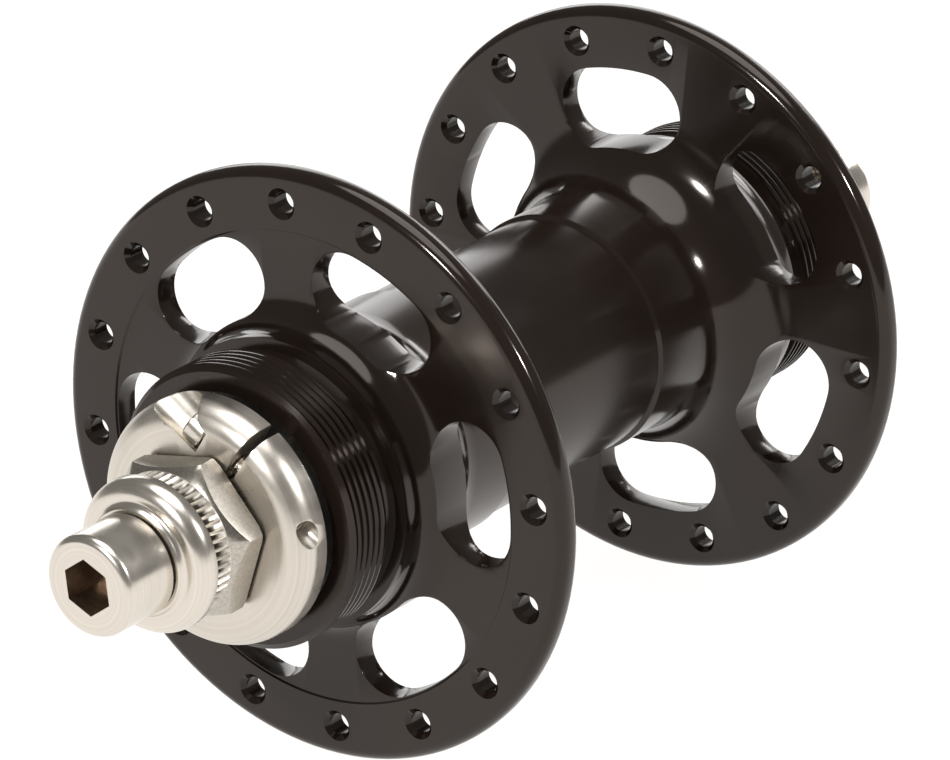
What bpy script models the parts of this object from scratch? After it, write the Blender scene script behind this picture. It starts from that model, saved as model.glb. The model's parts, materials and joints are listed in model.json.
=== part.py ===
"""Double-threaded high-flange track hub: the whole assembly, piece by piece.

The origin is the hub's centre, halfway between the flanges. The axle lies along Y,
with the right-hand end at -Y and the left-hand end at +Y, and Z is up. Distances
called "out" are measured from the centre towards one end of the axle. Blender
units are metres, and the sizes below are written in millimetres times MM.
"""

import math

import bmesh
import bpy
from mathutils import Matrix, Vector

MM = 0.001

# Hub shell
FLANGE_RADIUS = 36.8 * MM
FLANGE_MIDDLE = 33.3 * MM  # out to the middle of the flange's thickness
FLANGE_THICKNESS = 3.3 * MM
FLANGE_EDGE_ROUND = 1.4 * MM
WEB_RECESS = 0.2 * MM  # the slotted web stands this far below the spoke ring
WEB_RADIUS = 29.1 * MM
BARREL_RADIUS = 15.0 * MM
BARREL_STEP_OUT = 14.7 * MM
BOSS_RADIUS = 15.4 * MM
INNER_FILLET = 9.0 * MM
OUTER_FILLET = 4.0 * MM
SHOULDER_RADIUS = 17.9 * MM
SHOULDER_OUT = 39.9 * MM  # face that a cog or freewheel is screwed up against
THREAD_RADIUS = 17.4 * MM  # 1.37 inch by 24 threads per inch
RELIEF_RADIUS = 16.5 * MM
RELIEF_OUT = 42.2 * MM
SHELL_END_OUT = 48.8 * MM
SHELL_END_CHAMFER = 0.5 * MM
SHELL_BORE_RADIUS = 12.6 * MM
SPOKE_CIRCLE_RADIUS = 32.65 * MM
SPOKE_HOLE_RADIUS = 1.3 * MM
SPOKES_PER_FLANGE = 16
SPOKE_PHASE = math.radians(6.5)
SLOTS_PER_FLANGE = 6
SLOT_CIRCLE_RADIUS = 24.2 * MM
SLOT_HALF_WIDTH = 4.9 * MM
SLOT_HALF_ANGLE = math.radians(9.5)  # to the centre of each round end
SLOT_PHASE = math.radians(7.5)

# Bearings, 15 x 28 x 7 mm
BEARING_BORE_RADIUS = 7.5 * MM
BEARING_RADIUS = 14.0 * MM
BEARING_WIDTH = 7.0 * MM
BEARING_OUT = 40.9 * MM  # inboard face
RACE_FIT = 0.2 * MM
INNER_RACE_RADIUS = 9.2 * MM
OUTER_RACE_RADIUS = 12.3 * MM
BALL_CIRCLE_RADIUS = 10.75 * MM
BALL_RADIUS = 1.95 * MM
BALLS_PER_BEARING = 10
GROOVE_RADIUS = 2.2 * MM
CAGE_HALF_WIDTH = 2.4 * MM
CAGE_HALF_WALL = 0.65 * MM
SEAL_THICKNESS = 0.5 * MM
SEAL_INSET = 0.2 * MM

# Axle and what is screwed on it
AXLE_RADIUS = 7.3 * MM
AXLE_SHOULDER_RADIUS = 8.8 * MM
AXLE_END_OUT = 62.6 * MM
AXLE_THREAD_BORE = 4.1 * MM
AXLE_MIDDLE_BORE = 3.2 * MM
AXLE_THREAD_DEPTH = 26.0 * MM
HARDWARE_BORE = 7.6 * MM
COLLAR_NECK_RADIUS = 9.4 * MM
COLLAR_NECK_OUT = 48.2 * MM
COLLAR_BACK_OUT = 50.6 * MM
COLLAR_FRONT_OUT = 55.6 * MM
COLLAR_RADIUS = 15.1 * MM
COLLAR_ROUND = 3.0 * MM
PINCH_ANGLE = math.radians(59.0)  # where the collar is split
PINCH_SLOT_WIDTH = 1.3 * MM
PINCH_AXIS_RADIUS = 9.7 * MM
PINCH_AXIS_OUT = 53.5 * MM
PINCH_SEAT = 5.0 * MM  # from the split to the seat under the screw's head
PINCH_POCKET_RADIUS = 2.6 * MM
PINCH_HOLE_RADIUS = 1.55 * MM
PINCH_HEAD_RADIUS = 2.25 * MM
PINCH_HEAD_LENGTH = 2.5 * MM
PINCH_SHANK_RADIUS = 1.25 * MM
PINCH_SHANK_LENGTH = 11.5 * MM
PINCH_KEY_FLATS = 2.0 * MM
NUT_BACK_OUT = 56.0 * MM
NUT_FRONT_OUT = 60.2 * MM
NUT_FLATS = 18.0 * MM
NUT_CHAMFER_OUT = 58.4 * MM
NUT_PHASE = math.radians(12.8)
DROPOUT_FACE_OUT = 62.9 * MM
DROPOUT_FACE_RADIUS = 8.7 * MM
WASHER_BACK_OUT = 63.2 * MM
WASHER_FRONT_OUT = 66.9 * MM
WASHER_RADIUS = 9.4 * MM
WASHER_NOSE_RADIUS = 6.5 * MM
WASHER_BORE = 4.3 * MM
BOLT_HEAD_RADIUS = 6.15 * MM
BOLT_HEAD_BACK_OUT = 67.2 * MM
BOLT_TIP_OUT = 75.2 * MM
BOLT_EDGE_ROUND = 1.0 * MM
BOLT_SHANK_RADIUS = 3.8 * MM
BOLT_SHANK_END_OUT = 45.0 * MM
KEY_FLATS = 6.0 * MM
KEY_DEPTH = 5.2 * MM
KEY_PHASE = math.radians(37.5)

TOUCH_GAP = 0.3 * MM
RIGHT, LEFT = -1, 1
SIDES = {"right": RIGHT, "left": LEFT}


# ---------------------------------------------------------------- helpers


def clear_scene():
    for obj in list(bpy.data.objects):
        bpy.data.objects.remove(obj)


def finish(name, colour, roughness, metallic):
    material = bpy.data.materials.new(name)
    material.use_nodes = True
    shader = material.node_tree.nodes["Principled BSDF"]
    shader.inputs["Base Color"].default_value = (*colour, 1.0)
    shader.inputs["Roughness"].default_value = roughness
    shader.inputs["Metallic"].default_value = metallic
    return material


def add_object(name, bm, material):
    """Makes an object of a bmesh, with its faces turned out and its round sides smooth."""
    bmesh.ops.remove_doubles(bm, verts=bm.verts, dist=1e-7)
    bmesh.ops.recalc_face_normals(bm, faces=bm.faces)
    mesh = bpy.data.meshes.new(name)
    bm.to_mesh(mesh)
    bm.free()
    mesh.shade_smooth()
    mesh.set_sharp_from_angle(angle=math.radians(30))
    obj = bpy.data.objects.new(name, mesh)
    bpy.context.scene.collection.objects.link(obj)
    if material:
        mesh.materials.append(material)
    return obj


def spun(outline, steps):
    """A closed outline of (radius, height) points turned once round the Y axis."""
    bm = bmesh.new()
    verts = [bm.verts.new((radius, height, 0)) for radius, height in outline]
    edges = [bm.edges.new((a, b)) for a, b in zip(verts, verts[1:] + verts[:1])]
    bmesh.ops.spin(
        bm, geom=verts + edges, cent=(0, 0, 0), axis=(0, 1, 0),
        angle=math.tau, steps=steps, use_merge=True,
    )
    # The profile edge along the axis, of a piece with a solid core, spins into nothing.
    bmesh.ops.dissolve_degenerate(bm, dist=1e-7, edges=bm.edges)
    return bm


def turned(name, outline, material, side=LEFT, steps=36):
    """A turned piece, from (radius, out) points, on one side of the hub."""
    return add_object(name, spun([(r, side * out) for r, out in outline], steps), material)


def arc(centre, radius, start, end, points):
    """Points (radius, out) along a round, from one angle to another in degrees."""
    turns = [math.radians(start + (end - start) * k / (points - 1)) for k in range(points)]
    return [(centre[0] + radius * math.cos(t), centre[1] + radius * math.sin(t)) for t in turns]


def prism(bm, corners, low, high):
    """Adds a straight-sided solid with its (x, z) corners extruded along Y."""
    face = bm.faces.new([bm.verts.new((x, low, z)) for x, z in corners])
    top = bmesh.ops.extrude_face_region(bm, geom=[face])["geom"]
    moved = [v for v in top if isinstance(v, bmesh.types.BMVert)]
    bmesh.ops.translate(bm, verts=moved, vec=(0, high - low, 0))


def polygon(radius, sides, phase):
    turns = [phase + math.tau * k / sides for k in range(sides)]
    return [(radius * math.cos(t), radius * math.sin(t)) for t in turns]


def hexagon(flats, phase):
    return polygon(flats / math.sqrt(3), 6, phase)


def cutter(name, bm):
    obj = add_object(name, bm, None)
    obj.hide_render = True
    obj.display_type = "WIRE"
    return obj


def boolean(obj, tool, operation="DIFFERENCE"):
    modifier = obj.modifiers.new(tool.name, "BOOLEAN")
    modifier.operation = operation
    modifier.object = tool
    modifier.solver = "EXACT"


# ---------------------------------------------------------------- hub shell


def shell_outside():
    """Half of the shell's outer outline, from the middle of the barrel to the end."""
    rim_in = FLANGE_MIDDLE - FLANGE_THICKNESS / 2
    rim_out = FLANGE_MIDDLE + FLANGE_THICKNESS / 2
    web_out = rim_out - WEB_RECESS
    edge = FLANGE_RADIUS - FLANGE_EDGE_ROUND
    inner = (BOSS_RADIUS + INNER_FILLET, rim_in - INNER_FILLET)
    outer = (SHOULDER_RADIUS + OUTER_FILLET, web_out + OUTER_FILLET)
    return [
        (BARREL_RADIUS, BARREL_STEP_OUT),
        (BOSS_RADIUS, BARREL_STEP_OUT + 0.2 * MM),
        *arc(inner, INNER_FILLET, 180, 90, 5),
        *arc((edge, rim_in + FLANGE_EDGE_ROUND), FLANGE_EDGE_ROUND, -90, 0, 3),
        *arc((edge, rim_out - FLANGE_EDGE_ROUND), FLANGE_EDGE_ROUND, 0, 90, 3),
        (WEB_RADIUS, rim_out),
        (WEB_RADIUS, web_out),
        *arc(outer, OUTER_FILLET, -90, -180, 3),
        (SHOULDER_RADIUS, SHOULDER_OUT),
        (RELIEF_RADIUS, SHOULDER_OUT),
        (RELIEF_RADIUS, RELIEF_OUT),
        (THREAD_RADIUS, RELIEF_OUT),
        (THREAD_RADIUS, SHELL_END_OUT - SHELL_END_CHAMFER),
        (THREAD_RADIUS - SHELL_END_CHAMFER, SHELL_END_OUT),
    ]


def shell_bore():
    """Half of the bore's outline, from the shell's end to the middle."""
    seat = BEARING_OUT - TOUCH_GAP
    return [(BEARING_RADIUS, SHELL_END_OUT), (BEARING_RADIUS, seat), (SHELL_BORE_RADIUS, seat)]


def mirrored(points):
    return [(radius, -out) for radius, out in reversed(points)]


def spoke_holes():
    """Holes through both flanges. The left flange's are half a space further round."""
    bm = bmesh.new()
    space = math.tau / SPOKES_PER_FLANGE
    for side, phase in ((RIGHT, SPOKE_PHASE), (LEFT, SPOKE_PHASE + space / 2)):
        for k in range(SPOKES_PER_FLANGE):
            turn = phase + space * k
            x, z = SPOKE_CIRCLE_RADIUS * math.cos(turn), SPOKE_CIRCLE_RADIUS * math.sin(turn)
            round_hole = [(x + dx, z + dz) for dx, dz in polygon(SPOKE_HOLE_RADIUS, 8, turn)]
            ends = sorted((side * (FLANGE_MIDDLE - 4 * MM), side * (FLANGE_MIDDLE + 4 * MM)))
            prism(bm, round_hole, *ends)
    return cutter("spoke_hole_cutter", bm)


def kidney(phase, end_points=6, side_points=3):
    """Corners of a slot that follows a circle round the axle and has round ends."""
    corners = []
    for end in (1, -1):
        turn = phase + end * SLOT_HALF_ANGLE
        x, z = SLOT_CIRCLE_RADIUS * math.cos(turn), SLOT_CIRCLE_RADIUS * math.sin(turn)
        start = turn if end > 0 else turn + math.pi
        for k in range(end_points + 1):
            t = start + math.pi * k / end_points
            corners.append((x + SLOT_HALF_WIDTH * math.cos(t), z + SLOT_HALF_WIDTH * math.sin(t)))
        radius = SLOT_CIRCLE_RADIUS - end * SLOT_HALF_WIDTH
        for k in range(1, side_points):
            t = turn - end * 2 * SLOT_HALF_ANGLE * k / side_points
            corners.append((radius * math.cos(t), radius * math.sin(t)))
    return corners


def kidney_slots():
    """Slots through both flanges, cut along the axle. The left flange's sit between the right's."""
    bm = bmesh.new()
    space = math.tau / SLOTS_PER_FLANGE
    low, high = FLANGE_MIDDLE - 14 * MM, FLANGE_MIDDLE + 5.6 * MM
    for side, phase in ((RIGHT, SLOT_PHASE), (LEFT, SLOT_PHASE + space / 2)):
        for k in range(SLOTS_PER_FLANGE):
            prism(bm, kidney(phase + space * k), *sorted((side * low, side * high)))
    return cutter("kidney_slot_cutter", bm)


def hub_shell(material):
    half = shell_outside() + shell_bore()
    outline = mirrored(shell_outside()) + half + mirrored(shell_bore())
    shell = add_object("hub_shell", spun(outline, 40), material)
    boolean(shell, spoke_holes())
    boolean(shell, kidney_slots())


# ---------------------------------------------------------------- bearings


def race(name, side, wall, track, groove_angles, material):
    """A bearing ring: a wall radius, and a track radius with the ball groove in it."""
    middle = BEARING_OUT + BEARING_WIDTH / 2
    groove = arc((BALL_CIRCLE_RADIUS, middle), GROOVE_RADIUS, *groove_angles, 4)
    top = BEARING_OUT + BEARING_WIDTH
    outline = [(wall, top), (wall, BEARING_OUT), (track, BEARING_OUT), *groove, (track, top)]
    turned(name, outline, material, side, 28)


def bearing_seal(name, side, low, material):
    inside, outside = INNER_RACE_RADIUS + TOUCH_GAP, OUTER_RACE_RADIUS - RACE_FIT
    high = low + SEAL_THICKNESS
    turned(name, [(inside, low), (inside, high), (outside, high), (outside, low)], material, side, 24)


def ball_cage(name, side, material):
    """A ring with a round pocket for each ball."""
    middle = BEARING_OUT + BEARING_WIDTH / 2
    low, high = middle - CAGE_HALF_WIDTH, middle + CAGE_HALF_WIDTH
    inside, outside = BALL_CIRCLE_RADIUS - CAGE_HALF_WALL, BALL_CIRCLE_RADIUS + CAGE_HALF_WALL
    outline = [(inside, low), (inside, high), (outside, high), (outside, low)]
    cage = turned(name, outline, material, side, 30)
    pockets = bmesh.new()
    for k in range(BALLS_PER_BEARING):
        turn = math.tau * k / BALLS_PER_BEARING
        place = (
            Matrix.Translation((0, side * middle, 0))
            @ Matrix.Rotation(-turn, 4, "Y")
            @ Matrix.Translation((BALL_CIRCLE_RADIUS, 0, 0))
            @ Matrix.Rotation(math.pi / 2, 4, "Y")
        )
        bmesh.ops.create_cone(
            pockets, cap_ends=True, segments=8, radius1=BALL_RADIUS + RACE_FIT,
            radius2=BALL_RADIUS + RACE_FIT, depth=4 * CAGE_HALF_WALL, matrix=place,
        )
    boolean(cage, cutter(name + "_pocket_cutter", pockets))


def bearing_balls(label, side, material):
    """Each ball is its own object, and they share one mesh."""
    middle = BEARING_OUT + BEARING_WIDTH / 2
    bm = bmesh.new()
    bmesh.ops.create_icosphere(bm, subdivisions=2, radius=BALL_RADIUS)
    first = add_object(f"{label}_bearing_ball_01", bm, material)
    for k in range(BALLS_PER_BEARING):
        ball = first
        if k:
            ball = bpy.data.objects.new(f"{label}_bearing_ball_{k + 1:02d}", first.data)
            bpy.context.scene.collection.objects.link(ball)
        turn = math.tau * k / BALLS_PER_BEARING
        x, z = BALL_CIRCLE_RADIUS * math.cos(turn), BALL_CIRCLE_RADIUS * math.sin(turn)
        ball.location = (x, side * middle, z)


def bearing(label, side, steel, brass, rubber):
    outer_wall, inner_wall = BEARING_RADIUS - RACE_FIT, BEARING_BORE_RADIUS
    # Half the angle over which each groove's round stands clear of its track.
    over = math.degrees(math.acos((OUTER_RACE_RADIUS - BALL_CIRCLE_RADIUS) / GROOVE_RADIUS))
    under = math.degrees(math.acos((BALL_CIRCLE_RADIUS - INNER_RACE_RADIUS) / GROOVE_RADIUS))
    race(f"{label}_bearing_outer_race", side, outer_wall, OUTER_RACE_RADIUS, (-over, over), steel)
    race(
        f"{label}_bearing_inner_race", side, inner_wall, INNER_RACE_RADIUS,
        (180 + under, 180 - under), steel,
    )
    ball_cage(f"{label}_bearing_cage", side, brass)
    bearing_balls(label, side, steel)
    inboard = BEARING_OUT + SEAL_INSET
    outboard = BEARING_OUT + BEARING_WIDTH - SEAL_INSET - SEAL_THICKNESS
    bearing_seal(f"{label}_bearing_inner_seal", side, inboard, rubber)
    bearing_seal(f"{label}_bearing_outer_seal", side, outboard, rubber)


# ---------------------------------------------------------------- axle hardware


def axle(material):
    """A hollow axle with a shoulder for each inner race and a tapped bore at each end."""
    shoulder = BEARING_OUT - TOUCH_GAP
    bottom = AXLE_END_OUT - AXLE_THREAD_DEPTH
    taper = AXLE_THREAD_BORE - AXLE_MIDDLE_BORE
    outside = [
        (AXLE_SHOULDER_RADIUS, shoulder),
        (AXLE_RADIUS, shoulder),
        (AXLE_RADIUS, AXLE_END_OUT),
    ]
    inside = [
        (AXLE_THREAD_BORE, AXLE_END_OUT),
        (AXLE_THREAD_BORE, bottom),
        (AXLE_MIDDLE_BORE, bottom - taper),
    ]
    outline = mirrored(outside) + outside + inside + mirrored(inside)
    add_object("axle", spun(outline, 28), material)


def collar_outline():
    """The round-edged ring that bears on the inner race, with its neck."""
    corner = (COLLAR_RADIUS - COLLAR_ROUND, COLLAR_FRONT_OUT - COLLAR_ROUND)
    return [
        (HARDWARE_BORE, COLLAR_NECK_OUT),
        (COLLAR_NECK_RADIUS, COLLAR_NECK_OUT),
        (COLLAR_NECK_RADIUS, COLLAR_BACK_OUT),
        (COLLAR_RADIUS, COLLAR_BACK_OUT),
        *arc(corner, COLLAR_ROUND, 0, 90, 4),
        (HARDWARE_BORE, COLLAR_FRONT_OUT),
    ]


def pinch_frame():
    """Where the pinch screw lies: its local Y runs out of the collar past its head, from the split."""
    away = PINCH_ANGLE + math.pi / 2
    y_axis = Vector((math.cos(away), 0, math.sin(away)))
    x_axis = Vector((math.cos(PINCH_ANGLE), 0, math.sin(PINCH_ANGLE)))
    z_axis = x_axis.cross(y_axis)
    frame = Matrix((x_axis, y_axis, z_axis)).transposed().to_4x4()
    frame.translation = x_axis * PINCH_AXIS_RADIUS + Vector((0, RIGHT * PINCH_AXIS_OUT, 0))
    return frame


def preload_collar(material):
    """The right-hand collar: split on one side, and pinched by a screw across the split."""
    collar = turned("preload_collar", collar_outline(), material, RIGHT)
    split = bmesh.new()
    half = PINCH_SLOT_WIDTH / 2
    corners = [(5 * MM, -half), (20 * MM, -half), (20 * MM, half), (5 * MM, half)]
    prism(split, corners, RIGHT * (COLLAR_FRONT_OUT + 1 * MM), RIGHT * (COLLAR_NECK_OUT - 1 * MM))
    split.transform(Matrix.Rotation(-PINCH_ANGLE, 4, "Y"))
    boolean(collar, cutter("collar_split_cutter", split))
    for name, radius, low, high in (
        ("pinch_pocket_cutter", PINCH_POCKET_RADIUS, PINCH_SEAT, 20 * MM),
        ("pinch_hole_cutter", PINCH_HOLE_RADIUS, -20 * MM, PINCH_SEAT + 1 * MM),
    ):
        bore = bmesh.new()
        prism(bore, polygon(radius, 16, 0), low, high)
        bore.transform(pinch_frame())
        boolean(collar, cutter(name, bore))


def pinch_screw(material):
    """A small cap screw. Its origin is on its own axis, at the collar's split."""
    under = PINCH_SEAT + TOUCH_GAP
    top = under + PINCH_HEAD_LENGTH
    outline = [
        (0, under - PINCH_SHANK_LENGTH),
        (PINCH_SHANK_RADIUS, under - PINCH_SHANK_LENGTH),
        (PINCH_SHANK_RADIUS, under),
        (PINCH_HEAD_RADIUS, under),
        (PINCH_HEAD_RADIUS, top),
        (0, top),
    ]
    screw = turned("collar_pinch_screw", outline, material, LEFT, 16)
    screw.matrix_world = pinch_frame()
    key = bmesh.new()
    prism(key, hexagon(PINCH_KEY_FLATS, 0), top - 1.3 * MM, top + 1 * MM)
    key_cutter = cutter("pinch_key_cutter", key)
    key_cutter.matrix_world = pinch_frame()
    boolean(screw, key_cutter)


def axle_nut(name, side, material):
    """A thin hexagon nut with the serrated ring that bites the frame's dropout."""
    corner = NUT_FLATS / math.sqrt(3)
    outline = [
        (HARDWARE_BORE, NUT_BACK_OUT),
        (corner + 0.1 * MM, NUT_BACK_OUT),
        (corner + 0.1 * MM, NUT_CHAMFER_OUT),
        (DROPOUT_FACE_RADIUS, NUT_FRONT_OUT),
        (DROPOUT_FACE_RADIUS, DROPOUT_FACE_OUT),
        (HARDWARE_BORE, DROPOUT_FACE_OUT),
    ]
    nut = turned(name, outline, material, side, 30)
    block = bmesh.new()
    ends = sorted((side * (NUT_BACK_OUT - 1 * MM), side * (DROPOUT_FACE_OUT + 1 * MM)))
    prism(block, hexagon(NUT_FLATS, NUT_PHASE), *ends)
    boolean(nut, cutter(name + "_hexagon", block), "INTERSECT")


def dropout_washer(name, side, material):
    """A thick domed washer that the bolt presses against the outside of the dropout."""
    rise = WASHER_FRONT_OUT - WASHER_BACK_OUT
    shoulder = rise * 0.55
    outline = [
        (WASHER_BORE, WASHER_BACK_OUT),
        (WASHER_RADIUS, WASHER_BACK_OUT),
        *arc(
            (WASHER_RADIUS - shoulder, WASHER_BACK_OUT + rise - shoulder - 0.7 * MM),
            shoulder, 0, 65, 3,
        ),
        (WASHER_NOSE_RADIUS, WASHER_FRONT_OUT),
        (WASHER_BORE, WASHER_FRONT_OUT),
    ]
    turned(name, outline, material, side, 32)


def axle_bolt(name, side, material):
    """A cap bolt with a hexagon socket, screwed into the axle's end."""
    edge = (BOLT_HEAD_RADIUS - BOLT_EDGE_ROUND, BOLT_TIP_OUT - BOLT_EDGE_ROUND)
    outline = [
        (0, BOLT_SHANK_END_OUT),
        (BOLT_SHANK_RADIUS - 0.8 * MM, BOLT_SHANK_END_OUT),
        (BOLT_SHANK_RADIUS, BOLT_SHANK_END_OUT + 0.8 * MM),
        (BOLT_SHANK_RADIUS, BOLT_HEAD_BACK_OUT),
        (BOLT_HEAD_RADIUS, BOLT_HEAD_BACK_OUT),
        *arc(edge, BOLT_EDGE_ROUND, 0, 90, 3),
        (0, BOLT_TIP_OUT),
    ]
    bolt = turned(name, outline, material, side, 24)
    key = bmesh.new()
    ends = sorted((side * (BOLT_TIP_OUT - KEY_DEPTH), side * (BOLT_TIP_OUT + 1 * MM)))
    prism(key, hexagon(KEY_FLATS, KEY_PHASE), *ends)
    boolean(bolt, cutter(name + "_key_cutter", key))


# ---------------------------------------------------------------- assembly


def build():
    clear_scene()
    black = finish("black_anodised_aluminium", (0.02, 0.018, 0.017), 0.32, 0.6)
    bright = finish("polished_aluminium", (0.80, 0.78, 0.75), 0.25, 1.0)
    stainless = finish("stainless_steel", (0.62, 0.60, 0.57), 0.35, 1.0)
    bearing_steel = finish("bearing_steel", (0.55, 0.56, 0.58), 0.15, 1.0)
    brass = finish("cage_brass", (0.70, 0.52, 0.25), 0.35, 1.0)
    rubber = finish("seal_rubber", (0.03, 0.03, 0.03), 0.6, 0.0)
    hub_shell(black)
    axle(bright)
    preload_collar(bright)
    pinch_screw(stainless)
    turned("left_spacer_collar", collar_outline(), bright, LEFT)
    for label, side in SIDES.items():
        bearing(label, side, bearing_steel, brass, rubber)
        axle_nut(f"{label}_axle_nut", side, stainless)
        dropout_washer(f"{label}_dropout_washer", side, bright)
        axle_bolt(f"{label}_axle_bolt", side, bright)


build()
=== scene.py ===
# %% [markdown]
# # A double-threaded high-flange track hub, modelled as a lesson
#
# A track hub is the middle of a bicycle wheel for the velodrome or for fixed-gear riding.
# This script takes the hub's plain working model as a fixed frame, and dresses it: every
# visible part is modelled again with real threads, teeth and rounded edges, and gets the
# finish of the metal that it is made of. The axle lies along Y, with the right-hand end
# at -Y, and Z is up. The cells can be read and run one after another.

import json
import math

import bpy
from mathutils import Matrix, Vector

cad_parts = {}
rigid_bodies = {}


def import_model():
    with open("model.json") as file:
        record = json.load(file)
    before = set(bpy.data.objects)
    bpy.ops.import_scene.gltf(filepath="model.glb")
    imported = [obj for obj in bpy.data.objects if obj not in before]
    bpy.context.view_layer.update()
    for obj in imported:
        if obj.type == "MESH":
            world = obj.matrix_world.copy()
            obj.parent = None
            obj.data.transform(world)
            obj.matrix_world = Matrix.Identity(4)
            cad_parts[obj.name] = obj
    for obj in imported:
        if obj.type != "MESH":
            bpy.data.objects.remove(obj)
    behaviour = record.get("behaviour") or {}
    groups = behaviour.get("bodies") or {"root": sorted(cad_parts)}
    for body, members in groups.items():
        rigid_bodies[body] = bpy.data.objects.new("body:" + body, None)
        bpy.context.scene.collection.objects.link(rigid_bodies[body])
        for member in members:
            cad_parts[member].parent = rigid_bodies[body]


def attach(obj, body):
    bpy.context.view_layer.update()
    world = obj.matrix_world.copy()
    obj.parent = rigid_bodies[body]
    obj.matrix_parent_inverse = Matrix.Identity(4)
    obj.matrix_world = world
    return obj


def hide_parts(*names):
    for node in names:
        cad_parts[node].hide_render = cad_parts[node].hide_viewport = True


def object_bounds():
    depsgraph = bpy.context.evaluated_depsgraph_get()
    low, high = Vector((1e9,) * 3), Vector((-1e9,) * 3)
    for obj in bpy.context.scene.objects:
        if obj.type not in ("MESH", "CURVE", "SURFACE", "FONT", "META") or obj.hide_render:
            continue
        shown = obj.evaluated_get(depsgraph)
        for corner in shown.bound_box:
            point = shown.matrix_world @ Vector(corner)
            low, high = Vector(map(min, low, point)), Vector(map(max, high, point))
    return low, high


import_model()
frame_low, frame_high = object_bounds()

# %% [markdown]
# ## Sizes
#
# Every size is in millimetres times MM, because Blender's unit here is the metre.
# Distances called "out" run from the hub's centre towards one end of the axle, so that
# the right-hand end and the left-hand end share one set of numbers.

# %% Units and sides
MM = 0.001
RIGHT, LEFT = -1, 1
SIDES = {"right": RIGHT, "left": LEFT}
print("the hub is", [round(d / MM, 1) for d in frame_high - frame_low], "mm")

# %% [markdown]
# ## Turning on the lathe
#
# Nearly every part of a hub is turned on a lathe: a tool follows an outline while the
# part spins. The same thing can be drawn with a screw modifier or a spin, but here a
# ring of vertices is extruded and resized from point to point of the outline, as one
# would do by hand, because each ring then stays a clean edge loop round the axle.


# %% Helpers: selecting, rings and turned pieces
def deselect():
    bpy.ops.object.select_all(action="DESELECT")


def named(name):
    """Names the object that an operator has just added, and fixes its place into its mesh."""
    piece = bpy.context.object
    piece.name = piece.data.name = name
    bpy.ops.object.transform_apply(location=True, rotation=True, scale=True)
    return piece


def turned(name, outline, sides=96, centre=(0, 0)):
    """A turned skin through (radius, y) points, open at both ends."""
    (radius, along), *rest = outline
    deselect()
    bpy.ops.mesh.primitive_circle_add(
        vertices=sides, radius=radius,
        location=(centre[0], along, centre[1]), rotation=(math.pi / 2, 0, 0),
    )
    piece = named(name)
    bpy.ops.object.mode_set(mode="EDIT")
    bpy.ops.mesh.select_all(action="SELECT")
    for new_radius, new_along in rest:
        bpy.ops.mesh.extrude_edges_move(
            TRANSFORM_OT_translate={"value": (0, new_along - along, 0)}
        )
        grow = new_radius / radius
        bpy.ops.transform.resize(
            value=(grow, 1, grow), center_override=(centre[0], new_along, centre[1])
        )
        radius, along = new_radius, new_along
    return piece


def open_edges():
    bpy.ops.mesh.select_all(action="DESELECT")
    bpy.ops.mesh.select_mode(type="VERT")
    bpy.ops.mesh.select_non_manifold(
        extend=False, use_wire=False, use_boundary=True,
        use_multi_face=False, use_non_contiguous=False, use_verts=False,
    )


def close_piece():
    """Turns the faces outwards and leaves edit mode."""
    bpy.ops.mesh.select_all(action="SELECT")
    bpy.ops.mesh.normals_make_consistent(inside=False)
    bpy.ops.object.mode_set(mode="OBJECT")


def ring_piece(name, outline, sides=96, centre=(0, 0)):
    """A turned piece with a bore: the outline's last point joins its first one."""
    piece = turned(name, outline, sides, centre)
    open_edges()
    bpy.ops.mesh.bridge_edge_loops()
    close_piece()
    return piece


def solid_piece(name, outline, sides=96, centre=(0, 0)):
    """A turned piece with a flat cap on each end."""
    piece = turned(name, outline, sides, centre)
    open_edges()
    bpy.ops.mesh.fill_holes(sides=0)
    close_piece()
    return piece


def arc(centre, radius, start, end, points):
    """Points (radius, out) along a round, from one angle to another in degrees."""
    turns = [math.radians(start + (end - start) * k / (points - 1)) for k in range(points)]
    return [(centre[0] + radius * math.cos(t), centre[1] + radius * math.sin(t)) for t in turns]


def to_side(outline, side):
    return [(radius, side * out) for radius, out in outline]


def mirrored(outline):
    return [(radius, -out) for radius, out in reversed(outline)]


# %% [markdown]
# ## Cutting
#
# Holes, slots and threads are cut as a machinist cuts them: a cutter with the tool's
# shape is put in place and taken away from the part. The exact Boolean solver keeps the
# part one closed body. Cutters are deleted as soon as they have cut.


# %% Helpers: cutters, copies and edge breaks
def active(piece):
    deselect()
    piece.select_set(True)
    bpy.context.view_layer.objects.active = piece


def cut(piece, cutter, operation="DIFFERENCE"):
    active(piece)
    modifier = piece.modifiers.new("cut", "BOOLEAN")
    modifier.operation = operation
    modifier.object = cutter
    modifier.solver = "EXACT"
    bpy.ops.object.modifier_apply(modifier=modifier.name)
    bpy.data.objects.remove(cutter)


def turned_copy(piece, name, angle):
    """A copy with its own mesh, turned by an angle round the Y axis."""
    active(piece)
    bpy.ops.object.duplicate(linked=False)
    copy = bpy.context.object
    copy.rotation_euler = (0, -angle, 0)
    return named(name)


def joined(pieces):
    deselect()
    for piece in pieces:
        piece.select_set(True)
    bpy.context.view_layer.objects.active = pieces[0]
    bpy.ops.object.join()
    return pieces[0]


def break_edges(piece, width, angle=55, segments=2):
    """A small round on every edge that is sharper than the angle."""
    active(piece)
    modifier = piece.modifiers.new("edge break", "BEVEL")
    modifier.width = width
    modifier.segments = segments
    modifier.limit_method = "ANGLE"
    modifier.angle_limit = math.radians(angle)
    modifier.use_clamp_overlap = True
    bpy.ops.object.modifier_apply(modifier=modifier.name)


def smooth(piece, angle=28):
    active(piece)
    bpy.ops.object.shade_smooth_by_angle(angle=math.radians(angle))


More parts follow.
